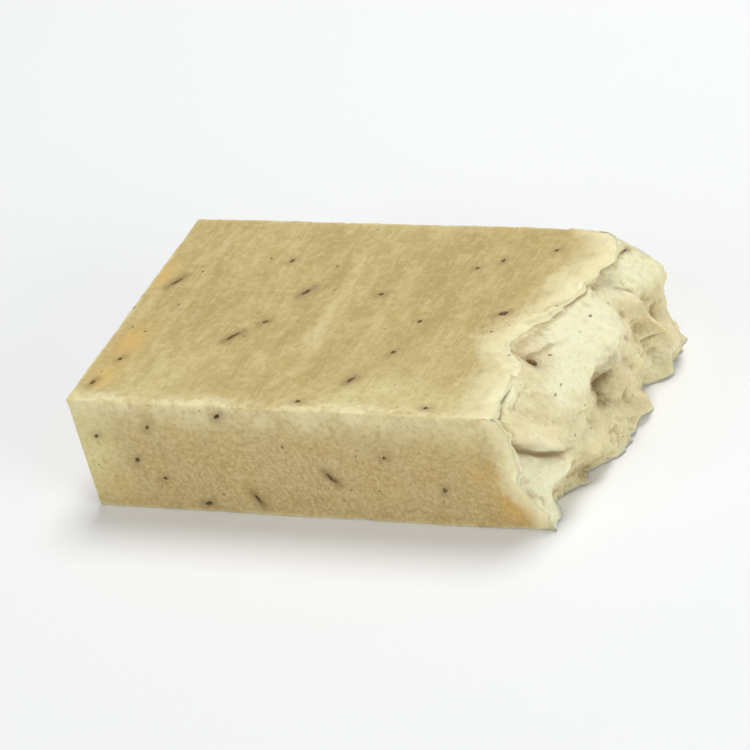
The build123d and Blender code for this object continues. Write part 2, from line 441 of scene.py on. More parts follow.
def roundOff(points):
    # Rounds the box's edges: each point is drawn towards the nearest place of a box that is smaller by the
    # radius, until it is one radius from it. Returns the points and their way outwards.
    radius = edgeRadius(points)
    inner = points.copy()
    inner[..., :1] = np.maximum(points[..., :1], smoothEndX + radius)
    halfWidth = width / 2 - radius
    inner[..., 1:2] = np.clip(points[..., 1:2], -halfWidth, halfWidth)
    inner[..., 2:] = np.clip(points[..., 2:], radius, thickness - radius)
    out = points - inner
    reach = np.abs(out).max(-1, keepdims=True)
    length = np.maximum(np.linalg.norm(out, axis=-1, keepdims=True), 1e-9)
    return inner + out / length * reach, out / length


print("working out the lumpy end")
acrossPlaces = placesAlong(width, soap["fineCell"], soap["edgeCell"], soap["edgeBand"]) - width / 2
upPlaces = placesAlong(thickness, soap["fineCell"], soap["edgeCell"], soap["edgeBand"])
gridY, gridZ = np.meshgrid(acrossPlaces, upPlaces, indexing="ij")
mainHeight = mainStandOut(gridY, gridZ)
reachScale = (furthestX - smoothEndX - soap["upperFaceLength"]) / mainHeight.max()
browX = smoothEndX + soap["upperFaceLength"]
gridX = browX + reachScale * mainHeight + foldsOf(gridY, gridZ)
past = np.maximum(gridX - (furthestX - lumpyEnd["stopBand"]), 0)
gridX -= past - lumpyEnd["stopBand"] * (1 - np.exp(-past / lumpyEnd["stopBand"]))


def sunken(rounds, deepest):
    # How far each place of the lumpy end lies below the blur of its surroundings, from 0 to 1.
    return np.clip((blurred(gridX, rounds) - gridX) / deepest, 0, 1)


# Painted shade: the deeper a place lies below its surroundings, the darker and warmer the material paints
# it
paintedCreaseShade = 0.5 * sunken(6, 0.25) + 0.5 * sunken(60, 0.9)

print("working out the body")
collarX = smoothEndX + soap["collarStart"]
fineRimX, fineRimY, fineRimZ = rimOf(gridX), rimOf(gridY), rimOf(gridZ)
collarShares = np.linspace(0, 1, soap["collarRings"] + 1)[:-1, None] ** 0.75
collarPlaces = collarX + collarShares * (fineRimX - collarX)
collar = np.stack(np.broadcast_arrays(collarPlaces, fineRimY, fineRimZ), -1)

coarseY, coarseZ = gridY[::2, ::2], gridZ[::2, ::2]
ringCount = int(round((soap["collarStart"] - soap["smoothStretch"]) / soap["ringStep"]))
ringX = np.concatenate([
    smoothEndX + np.linspace(0, soap["smoothStretch"], soap["smoothRings"])[:-1],
    np.linspace(smoothEndX + soap["smoothStretch"], collarX - soap["ringStep"], ringCount)])
rings = np.stack(np.broadcast_arrays(ringX[:, None], rimOf(coarseY), rimOf(coarseZ)), -1)

lumpyCap = np.stack([gridX, gridY, gridZ], -1)
smoothCap = np.stack([np.full_like(coarseY, smoothEndX), coarseY, coarseZ], -1)
smoothInside = smoothCap[1:-1, 1:-1]

# One list of points: the lumpy cap with its rim, the collar, the rings, of which the first is the smooth
# cap's rim, and the rest of the smooth cap.
lumpyIds = np.arange(gridY.size).reshape(gridY.shape)
collarIds = lumpyIds.size + np.arange(collar[..., 0].size).reshape(collar.shape[:2])
ringIds = lumpyIds.size + collarIds.size + np.arange(rings[..., 0].size).reshape(rings.shape[:2])
firstInside = lumpyIds.size + collarIds.size + ringIds.size
smoothIds = np.zeros(coarseY.shape, int)
smoothIds[1:-1, 1:-1] = firstInside + np.arange(smoothInside[..., 0].size).reshape(smoothInside.shape[:2])
lastY, lastZ = smoothIds.shape[0] - 1, smoothIds.shape[1] - 1
around = ringIds[0]
smoothIds[:, 0] = around[:lastY + 1]
smoothIds[-1, :] = around[lastY:lastY + lastZ + 1]
smoothIds[::-1, -1] = around[lastY + lastZ:2 * lastY + lastZ + 1]
smoothIds[0, 1:] = around[2 * lastY + lastZ:][::-1]

points = np.concatenate([part.reshape(-1, 3) for part in (lumpyCap, collar, rings, smoothInside)])
quads = [gridFaces(lumpyIds), gridFaces(smoothIds)[:, ::-1], ringFaces(collarIds[-1], rimOf(lumpyIds))]
quads += [ringFaces(collarIds[i], collarIds[i + 1]) for i in range(collarIds.shape[0] - 1)]
quads += [ringFaces(ringIds[i], ringIds[i + 1]) for i in range(ringIds.shape[0] - 1)]
triangles = halvingFaces(ringIds[-1], collarIds[0])


# Where the bits of herb lie, from the frame

def herbPlaces():
    # Middle, way along, way outwards, length and width of each bit of herb in the frame.
    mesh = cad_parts["herb_flecks"].data
    corners = np.zeros(len(mesh.vertices) * 3)
    mesh.vertices.foreach_get("co", corners)
    corners = corners.reshape(-1, 3) / mm
    mesh.calc_loop_triangles()
    triangleIds = np.zeros(len(mesh.loop_triangles) * 3, np.int32)
    mesh.loop_triangles.foreach_get("vertices", triangleIds)
    merged, sameAs = np.unique(np.round(corners, 3), axis=0, return_inverse=True)
    sides = sameAs.ravel()[triangleIds].reshape(-1, 3)
    label = np.arange(len(merged))
    for sweep in range(40):  # the lowest number of each bit spreads over it
        lowest = label[sides].min(1)
        for side in range(3):
            np.minimum.at(label, sides[:, side], lowest)
    found = []
    for island in np.unique(label):
        own = merged[label == island]
        middle = (own.min(0) + own.max(0)) / 2
        gaps = np.array([middle[0] - smoothEndX, middle[1] + width / 2, width / 2 - middle[1], middle[2],
                         thickness - middle[2]])
        face = int(np.argmin(gaps))
        outwards = np.array([(-1, 0, 0), (0, -1, 0), (0, 1, 0), (0, 0, -1), (0, 0, 1)][face], float)
        middle += outwards * gaps[face]
        flatSpread = own - own.mean(0)
        flatSpread -= np.outer(flatSpread @ outwards, outwards)
        along = np.linalg.svd(flatSpread, full_matrices=False)[2][0]
        sideways = np.cross(outwards, along)
        found.append((middle, along, outwards, np.ptp(own @ along), np.ptp(own @ sideways)))
    return found


def placeOnLumpyEnd(across, up, length, breadth, lift):
    # The same values as for a bit in the frame, for one that lies on the lumpy end.
    (y, z), = placesOf([(across, up)])
    away = np.hypot(gridY - y, gridZ - z)
    nearest = np.unravel_index(np.argmin(away), away.shape)
    slopeY, slopeZ = (slope[nearest] for slope in np.gradient(gridX, acrossPlaces, upPlaces))
    outwards = np.array((1, -slopeY, -slopeZ)) / np.sqrt(1 + slopeY ** 2 + slopeZ ** 2)
    along = np.cross(outwards, (0, 0, 1))
    middle = np.array((gridX[nearest], gridY[nearest], gridZ[nearest])) + lift * outwards
    return middle, along / np.linalg.norm(along), outwards, length, breadth


# Bits on the lumpy end: share of the width and of the thickness, length, width and lift out of its hollow
lumpyHerb = [
    (0.33, 0.918, 2.4, 1.3, 0.35),
    (0.965, 0.86, 1.5, 0.8, 0.1),
]
herbBits = herbPlaces() + [placeOnLumpyEnd(*bit) for bit in lumpyHerb]


# Marks that the material reads

# Lighter and darker swipes that the cut left on the upper face: distance from the smooth end, share of the
# width at each end, half width and strength.
swipes = [
    (38.2, 0.30, 0.80, 1.3, 1.3),
    (9.6, 0.20, 0.95, 1.1, 0.8),
    (14.5, 0.62, 0.98, 0.9, 0.9),
    (20.5, 0.45, 0.92, 1.6, 0.35),
    (57.0, 0.02, 0.30, 3.0, 0.5),
    (47.5, 0.25, 0.60, 1.2, 0.5),
    (42.0, 0.55, 0.88, 0.5, 0.7),
    (17.6, 0.68, 0.97, 0.45, 0.6),
    (33.6, 0.30, 0.48, 0.5, -0.8),
    (28.4, 0.10, 0.32, 0.45, -0.7),
    (61.5, 0.24, 0.52, 0.5, -0.6),
    (51.5, -0.02, 0.14, 2.4, 0.6),
    (63.0, 0.30, 0.85, 2.2, 0.3),
    (35.2, 0.52, 0.75, 1.8, -0.7),
    (12.0, 0.30, 0.52, 2.4, -0.5),
    (26.5, 0.05, 0.30, 3.2, -0.45),
    (42.5, 0.12, 0.30, 2.0, -0.6),
    (54.0, 0.55, 0.95, 3.0, -0.5),
    (66.5, 0.60, 0.98, 2.6, -0.5),
    (5.5, 0.45, 0.66, 1.6, -0.4),
    (30.0, 0.80, 1.00, 2.5, -0.5),
    (16.0, 0.60, 1.02, 9.0, -0.5),
    (36.0, 0.62, 1.02, 9.0, -0.35),
    (34.0, 0.28, 0.60, 7.0, -0.45),
    (56.0, 0.70, 1.02, 8.0, -0.3),
]

# Warm tints: place from the smooth end, the near side and the floor, then reach each way and strength.
tints = [
    ((4.8, 17.0, 22.5), (2.6, 4.0, 1.5), 1.0),
    ((4.4, 7.0, 22.5), (2.4, 3.4, 1.5), 0.9),
    ((1.6, 37.5, 22.5), (1.8, 4.5, 2.0), 0.7),
    ((80.2, 0.0, 4.6), (3.2, 2.0, 3.4), 1.0),
    ((75.5, 0.0, 11.0), (3.0, 2.0, 3.6), 0.45),
    ((72.5, 0.0, 18.5), (3.4, 2.0, 2.6), 0.2),
    ((3.0, 55.5, 8.0), (4.0, 2.0, 3.0), 0.6),
    ((60.0, 55.5, 4.0), (8.0, 2.0, 3.0), 0.5),
    ((4.5, 0.0, 4.5), (4.0, 2.0, 4.0), 0.35),
    ((0.0, 20.0, 6.0), (2.0, 7.0, 3.0), 0.6),
    ((0.0, 46.0, 12.0), (2.0, 5.0, 4.0), 0.4),
]

# Bleached places, in the same way: the near corner of the smooth end and some of the near edge.
bleached = [
    ((0.0, 0.0, 22.5), (4.0, 3.0, 3.2), 0.6),
    ((0.0, 0.0, 15.0), (6.5, 2.0, 9.5), 1.5),
    ((73.0, 0.0, 18.5), (4.0, 2.0, 3.5), 0.45),
    ((12.0, 2.5, 22.5), (6.0, 3.0, 1.5), 0.4),
    ((14.0, 10.0, 22.5), (11.0, 8.0, 1.5), 0.2),
    ((51.5, 3.5, 22.5), (4.5, 4.0, 1.5), 0.7),
    ((58.0, 7.5, 22.5), (3.5, 3.5, 1.5), 0.6),
    ((68.0, 3.5, 22.5), (7.0, 4.5, 2.5), 0.6),
    ((0.0, 55.5, 11.0), (2.4, 2.0, 9.0), 0.6),
    ((38.0, 55.5, 22.5), (16.0, 2.0, 2.0), 0.4),
]

# Patches on the lumpy end, partly stains and partly painted light and shade: share of the width and of the
# thickness, strength and reach each way.
# Brown patches: partly stains, partly painted shade in the hollows, notches and crevices
brownStainsAndHollowShade = [
    (0.485, 0.455, 1.2, 3.0, 2.9),
    (0.475, 0.36, 0.7, 1.6, 1.6),
    (0.25, 0.10, 0.8, 3.6, 2.2),
    (0.34, 0.93, 0.7, 1.8, 1.5),
    (0.10, 0.50, 0.45, 2.4, 1.2),
    (0.60, 0.10, 0.35, 3.0, 2.0),
    (0.74, 0.22, 0.2, 3.0, 2.4),
    (0.53, 0.645, 0.6, 1.7, 1.8),
    (0.055, 0.61, 0.8, 1.6, 1.3),
    (0.29, 0.05, 0.5, 2.4, 1.4),
]
pinkStains = [
    (0.65, 0.63, 0.8, 2.2, 2.6),
    (0.73, 0.45, 0.9, 2.4, 3.4),
    (0.80, 0.62, 0.5, 3.0, 3.0),
    (0.58, 0.36, 0.6, 1.8, 2.4),
    (0.38, 0.95, 0.6, 3.2, 1.8),
    (0.05, 0.72, 0.5, 2.0, 3.0),
    (0.89, 0.22, 0.7, 4.0, 4.0),
    (0.13, 0.42, 0.5, 2.4, 1.6),
    (0.15, 0.63, 0.6, 2.6, 3.2),
]
# Pale patches: partly paler paste, partly painted light on the big lump's brightest part and on the near
# slope and a low far facet, which lie in shade
paleStainsAndLight = [
    (0.55, 0.80, 1.2, 8.5, 4.4),
    (0.90, 0.78, 0.8, 6.0, 4.0),
    (0.06, 0.28, 2.2, 4.5, 7.0),
    (0.30, 0.74, 0.6, 4.0, 3.6),
    (0.83, 0.17, 0.6, 3.0, 2.6),
    (0.16, 0.95, 0.6, 3.6, 2.0),
    (0.42, 0.70, 0.6, 3.0, 3.0),
]


def swipesAt(points):
    # Along each swipe a bell across it, eased in and out at its ends, its line wandering a little.
    total = np.zeros(len(points))
    fromEnd = points[:, 0] - smoothEndX + 0.9 * smoothNoise(points, 8.0, 41)
    across = points[:, 1] / width + 0.5
    onTop = easeBetween(thickness - 1, thickness - 0.2, points[:, 2])
    for place, start, end, halfWidth, strength in swipes:
        within = easeBetween(start - 0.12, start + 0.08, across)
        within *= easeBetween(end + 0.12, end - 0.08, across)
        total += strength * within * bell(fromEnd - place, halfWidth)
    return total * onTop


def bellsAt(points, bells):
    # Tints and bleached places, in the same way as the bells of the lumpy end.
    total = np.zeros(len(points))
    spot = points - [smoothEndX, -width / 2, 0]
    for place, reach, strength in bells:
        total += strength * bell(spot - place, reach).prod(-1)
    return np.clip(total, 0, 1)


def herbHaloAt(points):
    # 1 beside a bit of herb, fading over about a millimetre from its line.
    halo = np.zeros(len(points))
    for middle, along, outwards, length, across in herbBits:
        offset = points - middle
        beside = np.clip(offset @ along, -length / 2, length / 2)
        away = np.linalg.norm(offset - beside[:, None] * along, axis=-1)
        halo = np.maximum(halo, bell(away, 0.95) * min(1, length / 2.5))
    return halo


def patchShare(stains):
    return np.clip(sumOfBells(points[:, 1], points[:, 2], stains), 0, 1)


def onCap(values):
    # Values of the lumpy cap's places, which come first in the list of points, with 0 for the rest.
    return np.pad(values.ravel(), (0, len(points) - values.size))


onLumpyEnd = onCap(np.ones(gridX.shape))
rimX = browX + reachScale * mainStandOut(points[:, 1], points[:, 2])
fromLumpyEnd = np.where(onLumpyEnd > 0, 0, np.maximum(rimX - points[:, 0], 0))

rounded, outward = roundOff(points)
fromSide = width / 2 - np.abs(points[:, 1])
fromUpper = thickness - points[:, 2]
fromFace = np.minimum(points[:, 2], fromUpper)
inset = np.minimum(fromSide, fromFace)
fromEdge = np.sort(np.stack([points[:, 0] - smoothEndX, fromSide, fromFace], -1), axis=1)[:, 1]

# Pale strips, partly rubbed paleness and partly a painted highlight on the edges: patchy at the near upper
# edge and along every edge, more even down the near side
patchy = 0.75 + 0.6 * smoothNoise(points, 5.0, 61) + 0.5 * smoothNoise(points, 1.6, 62)
evenly = 0.45 + 0.55 * np.clip(patchy, 0, 1.3)
fromNearEdge = np.maximum(points[:, 1] + width / 2, 1.4 * fromUpper)
onNearSide = points[:, 1] < 0.1 - width / 2
paleEdgeAndHighlight = np.maximum.reduce([
    bell(fromNearEdge, soap["nearEdgeReach"]) * np.clip(patchy, 0, 1.2),
    0.9 * bell(fromUpper, soap["nearBandReach"]) * onNearSide * evenly,
    bell(fromEdge, soap["edgeReach"]) * np.clip(patchy, 0.1, 0.8)])

# Creases in the rind of the upper face: distance from the smooth end and share of the width at each end,
# and depth against the others.
rindCreases = [
    ((80.5, 0.66), (76.8, 0.568), 0.30),
    ((76.8, 0.568), (72.6, 0.532), 0.22),
    ((79.5, 0.585), (75.0, 0.505), 0.25),
    ((84.0, 0.86), (79.5, 0.74), 0.16),
    ((74.0, 0.38), (71.5, 0.24), 0.14),
    ((76.5, 0.30), (75.0, 0.10), 0.12),
]
deepest = max(depth for start, end, depth in rindCreases)
onUpper = easeBetween(thickness - 0.6, thickness - 0.1, points[:, 2]) * (onLumpyEnd < 0.5)
shakyX = points[:, 0] + 0.8 * smoothNoise(points, 2.8, 36)
shakyY = points[:, 1] + 0.8 * smoothNoise(points, 2.8, 37)
rindCrease = np.zeros(len(points))
for start, end, depth in rindCreases:
    ends = [(smoothEndX + fromEnd, (across - 0.5) * width) for fromEnd, across in (start, end)]
    away, side, along = lineDistance(shakyX, shakyY, ends)
    rindCrease = np.maximum(rindCrease, depth / deepest * onUpper * bell(away, soap["rindCreaseWidth"]))

# Relief of the flat faces: broad waves, fine lines across, and a creased grainy rind near the lumpy end
rind = bell(fromLumpyEnd, soap["rindReach"])
rindGrain = smoothNoise(points, soap["rindCell"], 33) + 0.7 * smoothNoise(points, soap["rindGrainCell"], 34)
relief = soap["waviness"] * smoothNoise(points, soap["wavinessCell"], 31, (1, 1.5, 1))
relief += soap["dragHeight"] * smoothNoise(points, soap["dragCell"], 32, (1, 3, 1))
relief += soap["rindRoughness"] * rind * (rindGrain - 0.5)
relief -= soap["rindCreaseDepth"] * rindCrease
relief[onLumpyEnd > 0] = 0

# A dip in the faces where they round off into the lumpy end, deeper in some places than in others
lipShare = np.where(onLumpyEnd > 0, bell(inset, soap["lipCapReach"]), bell(fromLumpyEnd, soap["lipReach"]))
dip = soap["lipDip"] * lipShare * np.maximum(0.6 + 0.7 * smoothNoise(points, 2.6, 35), 0)
faceY = np.where(fromSide <= inset + 1e-9, np.sign(points[:, 1]), 0)
faceZ = np.where(faceY == 0, np.sign(points[:, 2] - thickness / 2), 0)
outwardFace = inSpace(faceY, faceZ)
placed = rounded + outward * relief[:, None] - outwardFace * dip[:, None]
placed = np.clip(placed, (smoothEndX, -width / 2, 0), (furthestX, width / 2, thickness))

moulded = (np.abs(outward[:, 1]) > 0.7) | (outward[:, 0] < -0.7)
marks = {
    "lumpy": onLumpyEnd,
    "fromLumpyEnd": fromLumpyEnd,
    "paleEdgeAndHighlight": paleEdgeAndHighlight,
    "creaseShade": onCap(paintedCreaseShade),
    "moulded": moulded,
    "swipe": 0.5 + 0.5 * np.clip(swipesAt(points), -1, 1),
    "warm": bellsAt(points, tints),
    "brownStainAndShade": patchShare(brownStainsAndHollowShade),
    "pink": patchShare(pinkStains),
    "palenessAndLight": patchShare(paleStainsAndLight),
    # painted shade along the cracks of the lumpy end and the creases of the rind
    "crackShade": np.maximum(onCap(crackShadeAt(gridY, gridZ)), 0.6 * rindCrease),
    "bleached": bellsAt(points, bleached),
    "herbHalo": herbHaloAt(points),
}
print("points", len(points), "triangles", 2 * sum(len(part) for part in quads) + len(triangles))


# Materials

def feed(tree, socket, value):
    # Links another node's output, or sets a plain value.
    if isinstance(value, bpy.types.NodeSocket):
        tree.links.new(value, socket)
    else:
        socket.default_value = value


def addNode(tree, kind, inputs=None, **settings):
    made = tree.nodes.new("ShaderNode" + kind)
    for name, value in settings.items():
        setattr(made, name, value)
    for name, value in (inputs or {}).items():
        feed(tree, made.inputs[name], value)
    return made


def blend(tree, share, first, second):
    made = addNode(tree, "Mix", {0: share}, data_type="RGBA")
    for index, value in ((6, first), (7, second)):
        feed(tree, made.inputs[index], (*value, 1) if isinstance(value, tuple) else value)
    return made.outputs[2]


def calculate(tree, how, *values):
    return addNode(tree, "Math", dict(enumerate(values)), operation=how).outputs[0]


def times(tree, first, second):
    return calculate(tree, "MULTIPLY", first, second)


def rescale(tree, value, low, high, newLow=0.0, newHigh=1.0, smooth=True):
    made = addNode(tree, "MapRange", {
        "Value": value, "From Min": low, "From Max": high, "To Min": newLow, "To Max": newHigh})
    made.interpolation_type = "SMOOTHSTEP" if smooth else "LINEAR"
    return made.outputs[0]


def noiseAt(tree, place, size, detail=2.0, roughness=0.5, stretch=(1, 1, 1), turn=(0, 0, 0),
            shift=(0, 0, 0)):
    # Size is in millimetres, because place is, and turn in degrees.
    mapped = addNode(tree, "Mapping", {
        "Vector": place, "Location": shift, "Rotation": [np.radians(angle) for angle in turn],
        "Scale": [1 / (size * part) for part in stretch]})
    made = addNode(tree, "TexNoise", {
        "Vector": mapped.outputs[0], "Scale": 1.0, "Detail": detail, "Roughness": roughness})
    return made.outputs[0]


def markOf(tree, name):
    return addNode(tree, "Attribute", attribute_name=name).outputs["Fac"]


def placeIn(tree):
    # Place on the object in millimetres.
    coordinates = addNode(tree, "TexCoord")
    return addNode(tree, "VectorMath", {"Vector": coordinates.outputs["Object"], "Scale": 1 / mm},
                   operation="SCALE").outputs[0]


def newMaterial(name, finish):
    # Finish has the shader's uniform values.
    material = bpy.data.materials.new(name)
    material.use_nodes = True
    shader = material.node_tree.nodes["Principled BSDF"]
    for socket, value in finish.items():
        shader.inputs[socket].default_value = value
    return material, material.node_tree, shader


soapLook = {
    "tan": (0.52, 0.40, 0.157),
    "pale": (0.65, 0.55, 0.28),
    "deep": (0.42, 0.31, 0.11),
    "mouldedTan": (0.58, 0.405, 0.18),
    "dustyTan": (0.57, 0.44, 0.235),
    "orange": (0.67, 0.43, 0.12),
    "cream": (0.80, 0.735, 0.45),
    "chalk": (0.91, 0.885, 0.62),
    "yellowish": (0.72, 0.66, 0.33),
    "pasteTan": (0.74, 0.65, 0.40),
    # painted shade for the creases of the lumpy end
    "creaseShadeTone": (0.50, 0.38, 0.18),
    # brown for stains, and for painted shade in hollows and cracks
    "brownStainAndShade": (0.31, 0.22, 0.095),
    "pinkish": (0.83, 0.67, 0.44),
    "speck": (0.13, 0.075, 0.028),
    "haloTone": (0.27, 0.175, 0.065),
}

soapFinish = {
    "Subsurface Weight": 0.55,
    "Subsurface Radius": (1.0, 0.72, 0.35),
    "Subsurface Scale": 1.4 * mm,
    "IOR": 1.42,
    "Specular IOR Level": 0.4,
}


def tinted(tree, colour, tone, value, low, high, most=1.0):
    # The colour with a tone of the soap blended in as the value runs from low to high.
    return blend(tree, rescale(tree, value, low, high, 0, most), colour, soapLook[tone])


def paleAndDeep(tree, colour, value, pale, deep):
    # Paler as the value runs through one range and deeper through the other: start, end and greatest share.
    return tinted(tree, tinted(tree, colour, "pale", value, *pale), "deep", value, *deep)


def makeSoapMaterial():
    material, tree, shader = newMaterial("herbSoap", soapFinish)
    place = placeIn(tree)
    lumpy, creaseShade, moulded = (markOf(tree, name) for name in ("lumpy", "creaseShade", "moulded"))

    # Swirls of the pour, drawn out across the bar, and the cut's own swipes
    swirl = noiseAt(tree, place, 9.0, 4.0, 0.6, (1, 2.6, 1.6), (0, 0, -5))
    streaks = noiseAt(tree, place, 1.6, 3.0, 0.6, (1, 8, 3), (0, 0, -3), (3, 0, 0))
    colour = paleAndDeep(tree, soapLook["tan"], swirl, (0.48, 0.70, 0.7), (0.50, 0.32, 0.7))
    colour = paleAndDeep(tree, colour, streaks, (0.54, 0.74, 0.35), (0.46, 0.28, 0.30))
    colour = paleAndDeep(tree, colour, markOf(tree, "swipe"), (0.5, 1.0, 0.75), (0.5, 0.0, 0.75))

    # Duller on the sides that the mould made
    dull = rescale(tree, noiseAt(tree, place, 5.0, 3.0, 0.6, shift=(0, 7, 3)), 0.38, 0.62)
    dullTan = blend(tree, dull, soapLook["mouldedTan"], soapLook["dustyTan"])
    colour = blend(tree, times(tree, moulded, 0.75), colour, dullTan)

    # Fine mottling, coarser and grainier on the moulded sides
    mottle = noiseAt(tree, place, 1.2, 4.0, 0.7)
    drag = noiseAt(tree, place, 0.45, 2.0, 0.5, (1, 14, 1), (0, 0, -3))
    clouds = noiseAt(tree, place, 2.6, 3.0, 0.6, (1, 1.8, 1), (0, 0, -3), (1, 8, 2))
    grains = noiseAt(tree, place, 0.75, 3.0, 0.7, shift=(5, 5, 5))
    colour = paleAndDeep(tree, colour, mottle, (0.50, 0.67, 0.50), (0.50, 0.34, 0.55))
    colour = paleAndDeep(tree, colour, drag, (0.55, 0.72, 0.40), (0.45, 0.28, 0.45))
    colour = paleAndDeep(tree, colour, clouds, (0.52, 0.68, 0.35), (0.48, 0.33, 0.40))
    for tone, low, high, most in (("pale", 0.50, 0.66, 0.75), ("deep", 0.50, 0.34, 0.65)):
        grainy = times(tree, rescale(tree, grains, low, high, 0, most), moulded)
        colour = blend(tree, grainy, colour, soapLook[tone])

    # Warm tints and bleached places
    colour = blend(tree, times(tree, markOf(tree, "warm"), 0.8), colour, soapLook["orange"])
    bleach = times(tree, markOf(tree, "bleached"), rescale(tree, mottle, 0.3, 0.6, 0.45, 0.95))
    colour = blend(tree, bleach, colour, soapLook["yellowish"])

    # Pale edges, partly rubbed and partly a painted highlight, and the pale rind that leads to the lumpy
    # end, narrower on the moulded sides
    paleEdgeAndHighlight = times(tree, markOf(tree, "paleEdgeAndHighlight"), rescale(tree, mottle, 0.25, 0.6, 0.5, 1.0))
    colour = tinted(tree, colour, "pale", paleEdgeAndHighlight, 0.0, 0.5, 0.5)
    colour = tinted(tree, colour, "cream", paleEdgeAndHighlight, 0.25, 1.0, 0.85)
    narrower = calculate(tree, "MULTIPLY_ADD", moulded, 0.9, 1.0)
    rindAway = times(tree, markOf(tree, "fromLumpyEnd"), narrower)
    rindReach = calculate(tree, "MULTIPLY_ADD", noiseAt(tree, place, 3.4, 8.0, 0.78), 12.0, rindAway)
    colour = tinted(tree, colour, "cream", rindReach, 15.5, 8.0, 0.9)
    colour = tinted(tree, colour, "chalk", rindReach, 9.5, 4.5, 0.8)
    flakes = noiseAt(tree, place, 1.1, 5.0, 0.75, (1, 1.6, 1), shift=(4, 4, 0))
    flaky = times(tree, rescale(tree, rindReach, 13.0, 9.0), rescale(tree, flakes, 0.50, 0.36, 0, 0.55))
    colour = blend(tree, flaky, colour, soapLook["pasteTan"])

    # The lumpy end: chalky cream with duller patches and pink stains, pale patches that are partly painted
    # light, brown ones that are partly painted shade, warm painted shade down in its creases and brown
    # painted shade along its cracks
    patches = noiseAt(tree, place, 3.6, 5.0, 0.68)
    paste = tinted(tree, soapLook["pasteTan"], "cream", patches, 0.36, 0.62)
    # Paler where the pale patches lie, partly painted light
    paleAndLitShare = calculate(tree, "MULTIPLY_ADD", patches, 0.7, markOf(tree, "palenessAndLight"))
    paste = tinted(tree, paste, "chalk", paleAndLitShare, 0.35, 1.1)
    mixed = noiseAt(tree, place, 1.5, 4.0, 0.7, shift=(9, 2, 4))
    pinkShare = times(tree, markOf(tree, "pink"), rescale(tree, mixed, 0.35, 0.6, 0.2, 0.85))
    paste = blend(tree, pinkShare, paste, soapLook["pinkish"])
    # Brown patches, partly painted shade in hollows, notches and crevices
    brownAndShadeShare = times(tree, markOf(tree, "brownStainAndShade"), rescale(tree, mixed, 0.62, 0.38, 0.3, 0.85))
    paste = blend(tree, brownAndShadeShare, paste, soapLook["brownStainAndShade"])
    # Painted shade, warmer and darker, down in the creases
    paste = tinted(tree, paste, "creaseShadeTone", creaseShade, 0.2, 1.0, 0.6)
    paste = tinted(tree, paste, "pasteTan", mottle, 0.50, 0.36, 0.34)
    paste = tinted(tree, paste, "chalk", mottle, 0.55, 0.70, 0.6)
    colour = blend(tree, lumpy, colour, paste)
    # Painted shade: brown along the cracks and the rind's creases
    colour = tinted(tree, colour, "brownStainAndShade", markOf(tree, "crackShade"), 0.25, 1.0, 0.75)

    # Herb: the soap is stained round each bit, and dust lies in scattered dots
    halo = times(tree, markOf(tree, "herbHalo"), 0.8)
    colour = blend(tree, halo, colour, soapLook["haloTone"])
    wobble = addNode(tree, "TexNoise", {"Vector": place, "Scale": 1.6, "Detail": 2.0})
    wobbled = addNode(tree, "VectorMath", {0: wobble.outputs["Color"], 1: (0.9, 0.9, 0.9), 2: place},
                      operation="MULTIPLY_ADD")
    mapped = addNode(tree, "Mapping", {"Vector": wobbled.outputs[0], "Scale": (0.36, 0.27, 0.36)})
    dust = addNode(tree, "TexVoronoi", {"Vector": mapped.outputs[0], "Scale": 1.0, "Randomness": 1.0})
    cellTone = addNode(tree, "SeparateColor", {"Color": dust.outputs["Color"]}).outputs[0]
    dotSize = rescale(tree, cellTone, 0.5, 1.0, 0.0, 0.10, False)
    fromDot = calculate(tree, "SUBTRACT", dust.outputs["Distance"], dotSize)
    colour = tinted(tree, colour, "speck", fromDot, 0.05, -0.02, 0.8)
    feed(tree, shader.inputs["Base Color"], colour)

    # Waxy on the cut faces, chalky on the lumpy end
    waxy = rescale(tree, noiseAt(tree, place, 2.6, 2.0), 0.3, 0.7, 0.44, 0.60)
    matte = addNode(tree, "Mix", {0: lumpy, 2: waxy, 3: 0.68})
    feed(tree, shader.inputs["Roughness"], matte.outputs[0])

    # Relief too small for the mesh, each part with its share
    crumbs = times(tree, noiseAt(tree, place, 0.7, 4.0, 0.7, shift=(1, 1, 6)), lumpy)
    height = noiseAt(tree, place, 0.4, 3.0, 0.6)
    for part, share in ((drag, 0.3), (mottle, 0.7), (times(tree, grains, moulded), 0.5), (crumbs, 6.0)):
        height = calculate(tree, "MULTIPLY_ADD", part, share, height)
    bump = addNode(tree, "Bump", {"Height": height, "Distance": 0.1 * mm, "Strength": 0.9})
    feed(tree, shader.inputs["Normal"], bump.outputs[0])
    return material


print("making the soap")
faces = [face for part in quads for face in part.tolist()] + triangles.tolist()
makePiece("soapBody", placed, faces, "soap_bar", makeSoapMaterial(), marks)


# Bits of dried herb, one sliver at the place of each bit in the frame

herb = {
    "turnsAlong": 11,
    "turnsAround": 8,
    "fatness": 0.34,  # half thickness against half width
    "bend": 0.07,  # sideways bow against length
    "proud": 0.07,  # how far its back shows above the soap
    "tip": 0.03,  # how blunt its ends are
    "unevenness": 0.28,
    "firstSeed": 200,
    "dark": (0.07, 0.041, 0.014),
    "light": (0.235, 0.145, 0.055),
}

herbFinish = {
    "Roughness": 0.8,
    "Specular IOR Level": 0.25,
}


def makeHerbMaterial():
    material, tree, shader = newMaterial("driedHerb", herbFinish)
    patches = noiseAt(tree, placeIn(tree), 0.5, 3.0, 0.6)
    colour = blend(tree, rescale(tree, patches, 0.35, 0.68), herb["dark"], herb["light"])
    feed(tree, shader.inputs["Base Color"], colour)
    bump = addNode(tree, "Bump", {"Height": patches, "Distance": 0.08 * mm, "Strength": 0.8})
    feed(tree, shader.inputs["Normal"], bump.outputs[0])
    return material


